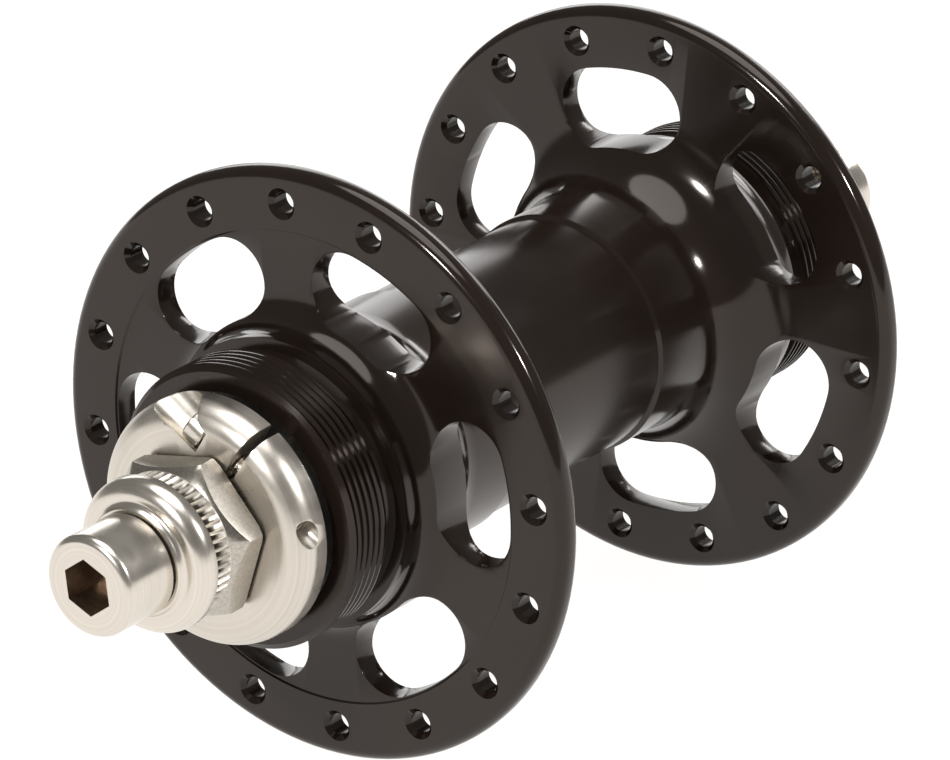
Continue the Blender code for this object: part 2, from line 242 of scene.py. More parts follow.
# %% [markdown]
# ## Screw threads
#
# A thread is one V groove that runs round and round. It could be drawn as a stack of
# rings, but a real one climbs, so the groove's section is swept by the screw modifier,
# which turns it and moves it along by one pitch for every turn. Both of the shell's
# threads are right-handed, and so are the bolts'.


# %% Helper: a thread cutter
def thread_cutter(name, side, start, end, pitch, radius, depth, sides=128, inside=False):
    """A helical V groove along the Y axis, into a rod or, for a tapped hole, into its wall."""
    inwards = -1 if inside else 1
    root, mouth = radius - inwards * depth, radius + inwards * 0.12 * pitch
    root_width, mouth_width = pitch / 8, pitch * 0.965
    low = min(side * start, side * end)
    deselect()
    bpy.ops.mesh.primitive_plane_add(size=1, location=((root + mouth) / 2, low, 0))
    groove = bpy.context.object
    groove.scale = (abs(mouth - root), mouth_width, 1)
    groove = named(name)
    bpy.ops.object.mode_set(mode="EDIT")
    bpy.ops.mesh.select_all(action="DESELECT")
    bpy.ops.object.mode_set(mode="OBJECT")
    for vertex in groove.data.vertices:
        vertex.select = abs(vertex.co.x - root) < abs(vertex.co.x - mouth)
    bpy.ops.object.mode_set(mode="EDIT")
    bpy.ops.transform.resize(
        value=(1, root_width / mouth_width, 1), center_override=(root, low, 0)
    )
    bpy.ops.mesh.select_all(action="SELECT")
    bpy.ops.mesh.delete(type="ONLY_FACE")
    bpy.ops.object.mode_set(mode="OBJECT")
    sweep = groove.modifiers.new("sweep", "SCREW")
    sweep.axis = "Y"
    sweep.angle = math.tau
    sweep.screw_offset = pitch
    sweep.iterations = math.ceil(abs(end - start) / pitch)
    sweep.steps = sweep.render_steps = sides
    sweep.use_merge_vertices = False
    bpy.ops.object.modifier_apply(modifier=sweep.name)
    groove.rotation_euler = (0, math.pi / (2 * sides), 0)
    named(name)
    bpy.ops.object.mode_set(mode="EDIT")
    open_edges()
    bpy.ops.mesh.fill_holes(sides=0)
    close_piece()
    return groove


# %% [markdown]
# ## The hub shell
#
# The shell is one piece of forged and turned aluminium: a barrel, two flanges that the
# spokes hook into, and a threaded boss at each end. One outline gives all of it. The
# thread is 1.37 inch by 24 to the inch, the size of every track cog.

# %% Shell sizes
FLANGE_RADIUS = 36.8 * MM
RIM_IN, RIM_OUT = 31.65 * MM, 34.95 * MM  # the flange's two faces, from the hub's centre
RIM_ROUND = 1.4 * MM
WEB_RADIUS, WEB_OUT = 29.25 * MM, 34.75 * MM  # the slotted web stands back from the rim
BARREL_RADIUS, BOSS_RADIUS, STEP_OUT = 15.0 * MM, 15.4 * MM, 14.6 * MM
INNER_FILLET, OUTER_FILLET = 9.0 * MM, 4.0 * MM
SHOULDER_RADIUS, SHOULDER_OUT = 17.9 * MM, 39.9 * MM
THREAD_RADIUS, THREAD_START, THREAD_PITCH = 17.4 * MM, 42.2 * MM, 1.058 * MM
RELIEF_RADIUS = 16.5 * MM
SHELL_END = 48.8 * MM
BEARING_SEAT_RADIUS, BEARING_SEAT_OUT, BORE_RADIUS = 14.0 * MM, 40.6 * MM, 12.6 * MM


# %% Turn the shell
def shell_outline():
    """Half of the shell, from the middle of the barrel outwards and back through the bore."""
    edge = FLANGE_RADIUS - RIM_ROUND
    step = BOSS_RADIUS - BARREL_RADIUS
    recess = RIM_OUT - WEB_OUT
    chamfer = 0.45 * MM
    inner = (BOSS_RADIUS + INNER_FILLET, RIM_IN - INNER_FILLET)
    outer = (SHOULDER_RADIUS + OUTER_FILLET, WEB_OUT + OUTER_FILLET)
    return [
        (BARREL_RADIUS, STEP_OUT),
        (BOSS_RADIUS, STEP_OUT + step),
        *arc(inner, INNER_FILLET, 180, 90, 13),
        *arc((edge, RIM_IN + RIM_ROUND), RIM_ROUND, -90, 0, 8),
        *arc((edge, RIM_OUT - RIM_ROUND), RIM_ROUND, 0, 90, 8),
        (WEB_RADIUS + recess, RIM_OUT),
        (WEB_RADIUS, WEB_OUT),
        *arc(outer, OUTER_FILLET, -90, -180, 9),
        (SHOULDER_RADIUS, SHOULDER_OUT),
        (RELIEF_RADIUS, SHOULDER_OUT),
        (RELIEF_RADIUS, THREAD_START - chamfer),
        (THREAD_RADIUS, THREAD_START + chamfer),
        (THREAD_RADIUS, SHELL_END - chamfer),
        (THREAD_RADIUS - 1.6 * chamfer, SHELL_END),
        (BEARING_SEAT_RADIUS + 0.3 * MM, SHELL_END),
        (BEARING_SEAT_RADIUS, SHELL_END - 0.3 * MM),
        (BEARING_SEAT_RADIUS, BEARING_SEAT_OUT),
        (BORE_RADIUS, BEARING_SEAT_OUT),
    ]


half = shell_outline()
shell = ring_piece("track_hub_shell", mirrored(half) + half, sides=128)
print("turned shell:", len(shell.data.polygons), "faces")

# %% [markdown]
# ## Lightening slots, spoke holes and threads
#
# Six kidney-shaped slots lighten each flange. Each follows a circle round the axle and
# has round ends. Its cutter starts as a circle of the mill's size, cut in half. The two
# ends of the half circle are spun round the axle, and a mirror makes the other half. The
# spoke holes are drilled and countersunk, so that the bend of a spoke doesn't stand on a
# sharp edge. The two flanges are turned against each other: a hole on one side looks at
# the middle of a space on the other.

# %% Cut the slots
SLOTS, SLOT_CIRCLE, SLOT_HALF_WIDTH = 6, 24.2 * MM, 4.9 * MM
SLOT_HALF_ANGLE = math.radians(9.5)
SLOT_PHASE = {RIGHT: math.radians(7.5), LEFT: math.radians(37.5)}
SLOT_CUT_IN, SLOT_CUT_OUT = 19.3 * MM, 38.9 * MM
SHELL_EDGE = 0.12 * MM
TOUCHING = 0.01 * MM  # closer than this counts as the same place


def slot_cutter(name, side, phase):
    """Half a kidney is a mill's half circle and two arcs. A mirror gives the rest."""
    depth = side * (SLOT_CUT_OUT - SLOT_CUT_IN)
    deselect()
    bpy.ops.mesh.primitive_circle_add(
        vertices=48, radius=SLOT_HALF_WIDTH,
        location=(SLOT_CIRCLE, side * SLOT_CUT_IN, 0), rotation=(math.pi / 2, 0, 0),
    )
    kidney = named(name)
    bpy.ops.object.mode_set(mode="EDIT")
    bpy.ops.mesh.select_all(action="SELECT")
    bpy.ops.mesh.bisect(plane_co=(0, 0, 0), plane_no=(0, 0, 1), clear_inner=True)
    bpy.ops.mesh.select_all(action="DESELECT")
    bpy.ops.object.mode_set(mode="OBJECT")
    for vertex in kidney.data.vertices:
        vertex.select = abs(vertex.co.z) < TOUCHING
    kidney.rotation_euler = (0, -SLOT_HALF_ANGLE, 0)
    named(name)
    bpy.ops.object.mode_set(mode="EDIT")
    bpy.ops.mesh.spin(steps=6, angle=-SLOT_HALF_ANGLE, center=(0, 0, 0), axis=(0, 1, 0))
    bpy.ops.object.mode_set(mode="OBJECT")
    flip = kidney.modifiers.new("other half", "MIRROR")
    flip.use_axis = (False, False, True)
    flip.merge_threshold = TOUCHING
    bpy.ops.object.modifier_apply(modifier=flip.name)
    bpy.ops.object.mode_set(mode="EDIT")
    bpy.ops.mesh.select_all(action="SELECT")
    bpy.ops.mesh.edge_face_add()
    bpy.ops.mesh.extrude_region_move(TRANSFORM_OT_translate={"value": (0, depth, 0)})
    close_piece()
    kidney.rotation_euler = (0, -phase, 0)
    active(kidney)
    return named(name)


for side in (RIGHT, LEFT):
    first = slot_cutter("slot cutter", side, SLOT_PHASE[side])
    turns = [math.tau * k / SLOTS for k in range(1, SLOTS)]
    cut(shell, joined([first, *[turned_copy(first, "slot cutter", turn) for turn in turns]]))
break_edges(shell, SHELL_EDGE)
print("slotted shell:", len(shell.data.polygons), "faces")

# %% Drill and countersink the spoke holes
SPOKE_CIRCLE, SPOKE_HOLE, SPOKES = 32.65 * MM, 1.4 * MM, 16
COUNTERSINK = 0.55 * MM
SPOKE_PHASE = {RIGHT: math.radians(6.5), LEFT: math.radians(6.5 + 11.25)}


def spoke_drill(side, phase):
    """A drill with a countersink at each of the flange's faces."""
    place = (SPOKE_CIRCLE * math.cos(phase), SPOKE_CIRCLE * math.sin(phase))
    wide, over = SPOKE_HOLE + 2 * COUNTERSINK, COUNTERSINK
    outline = [
        (wide, RIM_IN - over), (SPOKE_HOLE, RIM_IN + COUNTERSINK),
        (SPOKE_HOLE, RIM_OUT - COUNTERSINK), (wide, RIM_OUT + over),
    ]
    return solid_piece("spoke drill", to_side(outline, side), 32, place)


for side in (RIGHT, LEFT):
    first = spoke_drill(side, SPOKE_PHASE[side])
    turns = [math.tau * k / SPOKES for k in range(1, SPOKES)]
    cut(shell, joined([first, *[turned_copy(first, "spoke drill", turn) for turn in turns]]))
print("drilled shell:", len(shell.data.polygons), "faces")

# %% Cut the threads
THREAD_DEPTH, RUN_OUT = 0.62 * MM, 1.2 * MM
for side in (RIGHT, LEFT):
    cut(shell, thread_cutter(
        "shell thread", side, THREAD_START - RUN_OUT, SHELL_END + RUN_OUT,
        THREAD_PITCH, THREAD_RADIUS, THREAD_DEPTH,
    ))
smooth(shell)
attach(shell, "hub_shell")
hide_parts("hub_shell")
print("threaded shell:", len(shell.data.polygons), "faces")

# %% [markdown]
# ## The preload collar and its pinch screw
#
# The collar on the right-hand side pushes on the bearing's inner race to take up the
# play. It is split, and a small cap screw across the split closes it on the axle. The
# screw's head sinks in a pocket, and its thread shows in the split and at the far end
# of its tapped hole. The left-hand end only needs the same collar without a split.

# %% Turn the collars
BORE = 7.6 * MM
NECK_RADIUS, NECK_OUT = 9.4 * MM, 48.2 * MM
COLLAR_RADIUS, COLLAR_BACK, COLLAR_FRONT, COLLAR_ROUND = 15.1 * MM, 50.6 * MM, 55.6 * MM, 3.0 * MM


def collar_outline():
    corner = (COLLAR_RADIUS - COLLAR_ROUND, COLLAR_FRONT - COLLAR_ROUND)
    edge = 0.3 * MM
    return [
        (BORE, NECK_OUT), (NECK_RADIUS, NECK_OUT), (NECK_RADIUS, COLLAR_BACK),
        (COLLAR_RADIUS - edge, COLLAR_BACK), (COLLAR_RADIUS, COLLAR_BACK + edge),
        *arc(corner, COLLAR_ROUND, 0, 90, 14),
        (BORE + edge, COLLAR_FRONT), (BORE, COLLAR_FRONT - edge),
    ]


collar = ring_piece("preload_collar_split", to_side(collar_outline(), RIGHT), 128)
spacer = ring_piece("left_collar", to_side(collar_outline(), LEFT), 128)
print("collars turned,", len(collar.data.polygons), "faces each")

# %% Split the collar, and cut the screw's pocket and tapped hole
SPLIT_ANGLE, SPLIT_WIDTH = math.radians(59), 1.3 * MM
PINCH_RADIUS, PINCH_OUT = 9.7 * MM, 53.5 * MM  # the screw's axis, from the hub's and out
SEAT, POCKET_RADIUS = 5.0 * MM, 2.6 * MM  # the pocket's bottom, from the split's middle
CLEARANCE_RADIUS, TAPPED_RADIUS, TAP_DEPTH, PINCH_PITCH = 1.55 * MM, 1.3 * MM, 0.2 * MM, 0.5 * MM
BEYOND = 20 * MM  # outside the collar on both sides


def across_split(piece, name):
    """Lays a piece made round the Y axis across the split, with +Y at the head's end."""
    piece.rotation_euler = (0, 0, math.pi / 2)
    active(piece)
    named(name)
    piece.rotation_euler = (0, math.pi - (SPLIT_ANGLE + math.pi / 2), 0)
    piece.location = (
        PINCH_RADIUS * math.cos(SPLIT_ANGLE),
        RIGHT * PINCH_OUT,
        PINCH_RADIUS * math.sin(SPLIT_ANGLE),
    )
    active(piece)
    return named(name)


def box(name, size, centre):
    deselect()
    bpy.ops.mesh.primitive_cube_add(size=1, location=centre)
    bpy.context.object.scale = size
    return named(name)


saw = box("slitting saw", (15 * MM, 9 * MM, SPLIT_WIDTH), (12.5 * MM, RIGHT * 52 * MM, 0))
saw.rotation_euler = (0, -SPLIT_ANGLE, 0)
active(saw)
cut(collar, named("slitting saw"))
pocket = [(POCKET_RADIUS, SEAT), (POCKET_RADIUS, BEYOND)]
cut(collar, across_split(solid_piece("pocket mill", pocket, 64), "pocket mill"))
drill = [
    (TAPPED_RADIUS, -BEYOND), (TAPPED_RADIUS, 0),
    (CLEARANCE_RADIUS, 0), (CLEARANCE_RADIUS, SEAT + 1 * MM),
]
cut(collar, across_split(solid_piece("stepped drill", drill, 48), "stepped drill"))
break_edges(collar, 0.1 * MM, 50)
print("split collar:", len(collar.data.polygons), "faces")
tap = thread_cutter(
    "tap", LEFT, -9.6 * MM, -1.0 * MM, PINCH_PITCH, TAPPED_RADIUS, TAP_DEPTH, 40, inside=True,
)
cut(collar, across_split(tap, "tap"))
for piece, body, node in (
    (collar, "preload_collar", "preload_collar"), (spacer, "axle", "left_spacer_collar"),
):
    smooth(piece)
    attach(piece, body)
    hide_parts(node)
print("tapped collar:", len(collar.data.polygons), "faces")

# %% [markdown]
# ## Cap screws and bolts
#
# A bolt is turned from round bar, its thread is cut, and the hexagon for the key is
# pressed into its end. The hole that was drilled first leaves a pointed bottom. One
# helper makes the sockets of the two axle bolts and of the little pinch screw.


# %% Helpers: a hexagon bar, and the tool that presses a socket
def hexagon_bar(name, flats, low, high, phase):
    """A six-sided bar along the Y axis, with a corner at the angle phase."""
    deselect()
    bpy.ops.mesh.primitive_cylinder_add(
        vertices=6, radius=flats / math.sqrt(3), depth=abs(high - low),
        location=(0, (low + high) / 2, 0), rotation=(math.pi / 2, 0, 0),
    )
    bar = named(name)
    corner = bar.data.vertices[0].co
    bar.rotation_euler = (0, math.atan2(corner.z, corner.x) - phase, 0)
    return named(name)


def socket_tool(flats, top, bottom, phase=0.0):
    """A hexagon bar with a drill point at its bottom."""
    reach = 1 if top > bottom else -1
    bar = hexagon_bar("key press", flats, bottom, top + reach * flats, phase)
    drill_radius, tip_radius = 0.47 * flats, 0.03 * flats
    point = [(drill_radius, bottom + reach * flats / 20), (tip_radius, bottom - reach * flats / 5)]
    cut(bar, solid_piece("drill point", point, 48), "UNION")
    return bar


# %% The axle bolts
HEAD_RADIUS, HEAD_BACK, BOLT_TIP, HEAD_ROUND = 6.15 * MM, 67.2 * MM, 75.2 * MM, 1.0 * MM
SHANK_RADIUS, SHANK_END, SHANK_CHAMFER = 3.8 * MM, 45.0 * MM, 0.8 * MM
BOLT_PITCH, BOLT_THREAD_DEPTH = 1.25 * MM, 0.7 * MM
KEY_FLATS, KEY_DEPTH, KEY_PHASE = 6.0 * MM, 5.2 * MM, math.radians(37.5)


def axle_bolt(name, side):
    corner = (HEAD_RADIUS - HEAD_ROUND, BOLT_TIP - HEAD_ROUND)
    edge = 0.25 * MM
    outline = [
        (SHANK_RADIUS - SHANK_CHAMFER, SHANK_END), (SHANK_RADIUS, SHANK_END + SHANK_CHAMFER),
        (SHANK_RADIUS, HEAD_BACK - edge), (SHANK_RADIUS + edge, HEAD_BACK),
        (HEAD_RADIUS - edge, HEAD_BACK), (HEAD_RADIUS, HEAD_BACK + edge),
        *arc(corner, HEAD_ROUND, 0, 90, 10),
    ]
    bolt = solid_piece(name, to_side(outline, side))
    cut(bolt, socket_tool(KEY_FLATS, side * BOLT_TIP, side * (BOLT_TIP - KEY_DEPTH), KEY_PHASE))
    cut(bolt, thread_cutter(
        "bolt die", side, SHANK_END - 2 * MM, HEAD_BACK - 3 * MM,
        BOLT_PITCH, SHANK_RADIUS, BOLT_THREAD_DEPTH, 48,
    ))
    smooth(bolt)
    return bolt


for label, side in SIDES.items():
    bolt = axle_bolt(label + "_bolt", side)
    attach(bolt, label + "_axle_bolt")
    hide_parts(label + "_axle_bolt")
    print(bolt.name, len(bolt.data.polygons), "faces")

# %% The pinch screw
PINCH_HEAD, PINCH_HEAD_LENGTH = 2.25 * MM, 2.5 * MM
PINCH_SHANK, PINCH_LENGTH, PINCH_THREAD_DEPTH = 1.25 * MM, 11.5 * MM, 0.28 * MM
PINCH_KEY_FLATS, PINCH_KEY_DEPTH = 2.0 * MM, 1.3 * MM
under, edge = SEAT + 0.3 * MM, 0.25 * MM
top, tip = under + PINCH_HEAD_LENGTH, under - PINCH_LENGTH
pinch = solid_piece("pinch_screw", [
    (PINCH_SHANK - edge, tip), (PINCH_SHANK, tip + edge), (PINCH_SHANK, under),
    (PINCH_HEAD - edge, under), (PINCH_HEAD, under + edge), (PINCH_HEAD, top - edge),
    (PINCH_HEAD - edge, top),
], 64)
cut(pinch, socket_tool(PINCH_KEY_FLATS, top, top - PINCH_KEY_DEPTH))
cut(pinch, thread_cutter(
    "small die", LEFT, tip - 1 * MM, under - 1 * MM,
    PINCH_PITCH, PINCH_SHANK, PINCH_THREAD_DEPTH, 32,
))
smooth(pinch)
pinch = across_split(pinch, "pinch_screw")
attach(pinch, "collar_pinch_screw")
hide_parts("collar_pinch_screw")
print("pinch screw:", len(pinch.data.polygons), "faces")

# %% [markdown]
# ## Axle nuts
#
# The nut is a thin hexagon whose corners are turned away at an angle, which leaves a
# curved edge where each flat meets the cone. Intersecting a hexagon bar with a turned
# blank gives exactly that. In front stands a ring with fine teeth that bite the frame.
# The ring starts as a circle of vertices, and two of every three are pulled in.

# %% Nut sizes and its hexagon
NUT_BACK, NUT_CHAMFER, NUT_FRONT, NUT_FLATS = 56.0 * MM, 58.4 * MM, 60.2 * MM, 18.0 * MM
NUT_PHASE = math.radians(12.8)
RING_RADIUS, RING_FACE, TEETH, TOOTH = 8.7 * MM, 62.9 * MM, 52, 0.75 * MM


def nut_body(name, side):
    corner = NUT_FLATS / math.sqrt(3)
    blank = [
        (BORE, NUT_BACK), (corner - 0.5 * MM, NUT_BACK), (corner + 0.1 * MM, NUT_BACK + 0.35 * MM),
        (corner + 0.1 * MM, NUT_CHAMFER), (RING_RADIUS, NUT_FRONT), (BORE, NUT_FRONT),
    ]
    nut = ring_piece(name, to_side(blank, side))
    low, high = side * (NUT_BACK - 2 * MM), side * (NUT_FRONT + 2 * MM)
    cut(nut, hexagon_bar("hexagon bar", NUT_FLATS, low, high, NUT_PHASE), "INTERSECT")
    break_edges(nut, 0.12 * MM, 35)
    return nut


# %% Toothed ring, and the finished nuts
def toothed_ring(name, side):
    """A ring with three rows of vertices to each tooth: two are pulled in and back."""
    start, edge, ring_bore = NUT_FRONT - 0.15 * MM, 0.25 * MM, BORE + 0.1 * MM
    ring = ring_piece(name, to_side([
        (ring_bore, start), (RING_RADIUS, start), (RING_RADIUS, NUT_FRONT + 0.2 * MM),
        (RING_RADIUS, RING_FACE - edge), (RING_RADIUS - edge, RING_FACE), (ring_bore, RING_FACE),
    ], side), 3 * TEETH)
    bpy.ops.object.mode_set(mode="EDIT")
    bpy.ops.mesh.select_all(action="DESELECT")
    bpy.ops.object.mode_set(mode="OBJECT")
    for vertex in ring.data.vertices:
        x, y, z = vertex.co
        valley = round(math.atan2(z, x) * 3 * TEETH / math.tau) % 3 != 0
        at_face = abs(y) > RING_FACE - 2 * edge
        vertex.select = valley and at_face and math.hypot(x, z) > BORE + edge
    bpy.ops.object.mode_set(mode="EDIT")
    shrink = 1 - TOOTH / RING_RADIUS
    bpy.ops.transform.resize(value=(shrink, 1, shrink), center_override=(0, 0, 0))
    bpy.ops.transform.translate(value=(0, -side * TOOTH / 2, 0))
    close_piece()
    return ring


for label, side in SIDES.items():
    nut = nut_body(label + "_nut", side)
    cut(nut, toothed_ring("teeth", side), "UNION")
    smooth(nut, 24)
    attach(nut, "axle")
    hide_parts(label + "_axle_nut")
    print(nut.name, len(nut.data.polygons), "faces")

# %% [markdown]
# ## Dropout washers and the axle
#
# The washer is a thick turned ring. Its shoulder is fully rounded, and a hollow curve
# leads up to the bolt's head, so that the two look like one shape with a fine joint
# line. The axle is a hollow tube with a shoulder for each bearing and a bore for each
# bolt.

# %% Washers
WASHER_BACK, WASHER_FRONT, WASHER_RADIUS = 63.2 * MM, 66.9 * MM, 9.4 * MM
NOSE_RADIUS, WASHER_BORE, SHOULDER_ROUND, HOLLOW = 6.5 * MM, 4.3 * MM, 2.0 * MM, 0.8 * MM


def washer_outline():
    edge = 0.25 * MM
    shoulder = (WASHER_RADIUS - SHOULDER_ROUND, WASHER_FRONT - HOLLOW - SHOULDER_ROUND)
    return [
        (WASHER_BORE, WASHER_BACK), (WASHER_RADIUS - edge, WASHER_BACK),
        (WASHER_RADIUS, WASHER_BACK + edge),
        *arc(shoulder, SHOULDER_ROUND, 0, 90, 12),
        *arc((NOSE_RADIUS + HOLLOW, WASHER_FRONT), HOLLOW, 268, 190, 8),
        (NOSE_RADIUS - 0.1 * MM, WASHER_FRONT), (WASHER_BORE, WASHER_FRONT),
    ]


for label, side in SIDES.items():
    washer = ring_piece(label + "_washer", to_side(washer_outline(), side))
    smooth(washer, 35)
    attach(washer, label + "_dropout_washer")
    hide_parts(label + "_dropout_washer")
    print(washer.name, len(washer.data.polygons), "faces")

# %% Axle
AXLE_RADIUS, AXLE_SHOULDER_RADIUS, AXLE_END = 7.3 * MM, 8.8 * MM, 62.6 * MM
AXLE_BORE, AXLE_MIDDLE_BORE, AXLE_THREAD_DEPTH = 4.1 * MM, 3.2 * MM, 26 * MM
edge, bottom = 0.4 * MM, AXLE_END - AXLE_THREAD_DEPTH
axle_half = [
    (AXLE_SHOULDER_RADIUS, BEARING_SEAT_OUT - edge),
    (AXLE_SHOULDER_RADIUS - edge, BEARING_SEAT_OUT), (AXLE_RADIUS, BEARING_SEAT_OUT),
    (AXLE_RADIUS, AXLE_END - edge), (AXLE_RADIUS - edge, AXLE_END),
    (AXLE_BORE + edge, AXLE_END), (AXLE_BORE, AXLE_END - edge),
    (AXLE_BORE, bottom), (AXLE_MIDDLE_BORE, bottom - (AXLE_BORE - AXLE_MIDDLE_BORE)),
]
axle = ring_piece("hollow_axle", mirrored(axle_half) + axle_half, 72)
smooth(axle)
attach(axle, "axle")
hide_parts("axle")
print(axle.name, len(axle.data.polygons), "faces")

# %% [markdown]
# ## Finishes
#
# Each finish is a node material. A lathe leaves marks that change with the distance
# from the axle and along it, but never round it. So the patterns read two numbers made
# from the object's own coordinates: the radius and the place along Y. Noise over these
# two gives rings on a flat face and bands on a barrel, from one small recipe. Real
# turning marks are about 0.1 mm apart, which is too fine to show, so they are drawn
# three to five times as coarse.


# %% Helpers: colours, nodes and turned coordinates
def colour(code):
    """A colour written as sRGB hex, as the linear values that the shader works with."""
    parts = [int(code[i:i + 2], 16) / 255 for i in (1, 3, 5)]
    return (*[p / 12.92 if p <= 0.04045 else ((p + 0.055) / 1.055) ** 2.4 for p in parts], 1.0)


def add(material, kind, settings=None, inputs=None):
    """Adds a node, sets its properties, and sets or links its inputs."""
    node = material.node_tree.nodes.new("ShaderNode" + kind)
    for name, value in (settings or {}).items():
        setattr(node, name, value)
    for name, value in (inputs or {}).items():
        if isinstance(value, bpy.types.NodeSocket):
            material.node_tree.links.new(value, node.inputs[name])
        else:
            node.inputs[name].default_value = value
    return node


def new_finish(name):
    """An empty node material and its own coordinates, in metres."""
    material = bpy.data.materials.new(name)
    material.use_nodes = True
    material.node_tree.nodes.clear()
    return material, add(material, "TexCoord")


def lathe_place(material, place):
    """The radius from the axle and the place along it, as the first two numbers of a vector."""
    flat = add(material, "VectorMath", {"operation": "MULTIPLY"}, {
        0: place.outputs["Object"], 1: (1, 0, 1),
    })
    radius = add(material, "VectorMath", {"operation": "LENGTH"}, {0: flat.outputs[0]})
    split = add(material, "SeparateXYZ", inputs={0: place.outputs["Object"]})
    pair = add(material, "CombineXYZ", inputs={
        "X": radius.outputs["Value"], "Y": split.outputs["Y"],
    })
    return pair.outputs[0]


def finish_with(material, **inputs):
    """Ends a material with its surface shader. Base_Color stands for Base Color, and so on."""
    sockets = {key.replace("_", " "): value for key, value in inputs.items()}
    shader = add(material, "BsdfPrincipled", inputs=sockets)
    add(material, "OutputMaterial", inputs={"Surface": shader.outputs[0]})
    print("finish:", material.name, len(material.node_tree.nodes), "nodes")
    return material


# %% [markdown]
# Black anodising grows a thin glassy layer of oxide out of the aluminium and fills it
# with dye. Light meets the glassy layer first, so it is a dark surface with a clear
# reflection, not a metal. The dye is slightly warm. The straight cuts, which face along
# the axle or away from it, are satin, and the rounds between them are polished brighter.
# One product tells them apart: y times 1 - y, with y the normal's share along the axle,
# is 0 on a straight cut and up to a quarter on a round.

# %% Black anodised aluminium
def black_anodised_aluminium():
    black, place = new_finish("black_anodised_aluminium")
    marks = add(black, "TexNoise", inputs={
        "Vector": lathe_place(black, place), "Scale": 1 / (0.5 * MM), "Detail": 3.0,
    })
    cloud = add(black, "TexNoise", inputs={
        "Vector": place.outputs["Object"], "Scale": 1 / (9 * MM), "Detail": 2.0,
    })
    dye = add(black, "Mix", {"data_type": "RGBA"}, {
        0: cloud.outputs[0], 6: colour("#120d0a"), 7: colour("#1c1410"),
    })
    facing = add(black, "SeparateXYZ", inputs={0: place.outputs["Normal"]})
    along = add(black, "Math", {"operation": "ABSOLUTE"}, {0: facing.outputs["Y"]})
    across_axis = add(black, "Math", {"operation": "SUBTRACT"}, {0: 1.0, 1: along.outputs[0]})
    rounded = add(black, "Math", {"operation": "MULTIPLY"}, {
        0: along.outputs[0], 1: across_axis.outputs[0],
    })
    polish = add(black, "MapRange", inputs={
        "Value": rounded.outputs[0], "From Min": 0.01, "From Max": 0.12,
        "To Min": 0.17, "To Max": 0.09,
    })
    sheen = add(black, "Math", {"operation": "MULTIPLY_ADD"}, {
        0: marks.outputs[0], 1: 0.05, 2: polish.outputs[0],
    })
    groove = add(black, "Bump", inputs={
        "Strength": 0.25, "Distance": 0.01 * MM, "Height": marks.outputs[0],
    })
    return finish_with(
        black, Base_Color=dye.outputs[2], Metallic=0.0, IOR=1.47,
        Specular_Tint=colour("#fff4ec"), Roughness=sheen.outputs[0], Normal=groove.outputs[0],
    )


# %% [markdown]
# The bolts and washers are aluminium bar, turned, tumbled smooth and clear anodised.
# The collars are left with their fine turned surface, which looks satin and a little
# darker on flat faces, because each mark turns some light away.

# %% Turned aluminium, polished or satin
def turned_aluminium(name, light, dark, smooth_part, rough_part, depth, spacing):
    metal, place = new_finish(name)
    marks = add(metal, "TexNoise", inputs={
        "Vector": lathe_place(metal, place), "Scale": 1 / spacing, "Detail": 4.0,
    })
    haze = add(metal, "TexNoise", inputs={
        "Vector": place.outputs["Object"], "Scale": 1 / (3 * MM), "Detail": 3.0,
    })
    tone = add(metal, "Mix", {"data_type": "RGBA"}, {
        0: marks.outputs[0], 6: colour(dark), 7: colour(light),
    })
    sheen = add(metal, "MapRange", inputs={
        "Value": haze.outputs[0], "From Min": 0.3, "From Max": 0.7,
        "To Min": smooth_part, "To Max": rough_part,
    })
    groove = add(metal, "Bump", inputs={
        "Strength": 0.5, "Distance": depth, "Height": marks.outputs[0],
    })
    return finish_with(
        metal, Base_Color=tone.outputs[2], Metallic=1.0,
        Roughness=sheen.outputs[0], Normal=groove.outputs[0],
    )


# %% [markdown]
# The nut is stainless steel, blasted with glass beads, so its flats have a fine grain.
# Its cone was turned afterwards and is smooth. The direction that the surface faces
# tells the two apart: a flat faces away from the axle, and the cone leans along it.
# Real bead dents are about 0.1 mm wide. They are drawn three times as coarse, to show.

# %% Blasted stainless steel
def blasted_stainless_steel():
    steel, place = new_finish("blasted_stainless_steel")
    facing = add(steel, "SeparateXYZ", inputs={0: place.outputs["Normal"]})
    lean = add(steel, "Math", {"operation": "ABSOLUTE"}, {0: facing.outputs["Y"]})
    blasted = add(steel, "MapRange", inputs={
        "Value": lean.outputs[0], "From Min": 0.15, "From Max": 0.3,
        "To Min": 1.0, "To Max": 0.12,
    })
    grain = add(steel, "TexNoise", inputs={
        "Vector": place.outputs["Object"], "Scale": 1 / (0.35 * MM), "Detail": 2.0,
    })
    tone = add(steel, "Mix", {"data_type": "RGBA"}, {
        0: grain.outputs[0], 6: colour("#9a948a"), 7: colour("#ccc6bc"),
    })
    sheen = add(steel, "Math", {"operation": "MULTIPLY_ADD"}, {
        0: blasted.outputs[0], 1: 0.22, 2: 0.16,
    })
    dents = add(steel, "Bump", inputs={
        "Strength": blasted.outputs[0], "Distance": 0.02 * MM, "Height": grain.outputs[0],
    })
    return finish_with(
        steel, Base_Color=tone.outputs[2], Metallic=1.0,
        Roughness=sheen.outputs[0], Normal=dents.outputs[0],
    )


# %% [markdown]
# The bearings sit behind the collars: ground steel rings and balls, a cage pressed from
# brass sheet, and seals of moulded rubber. Their real grain is finer than 0.1 mm, and
# is drawn about five times as coarse, so that it shows at all.

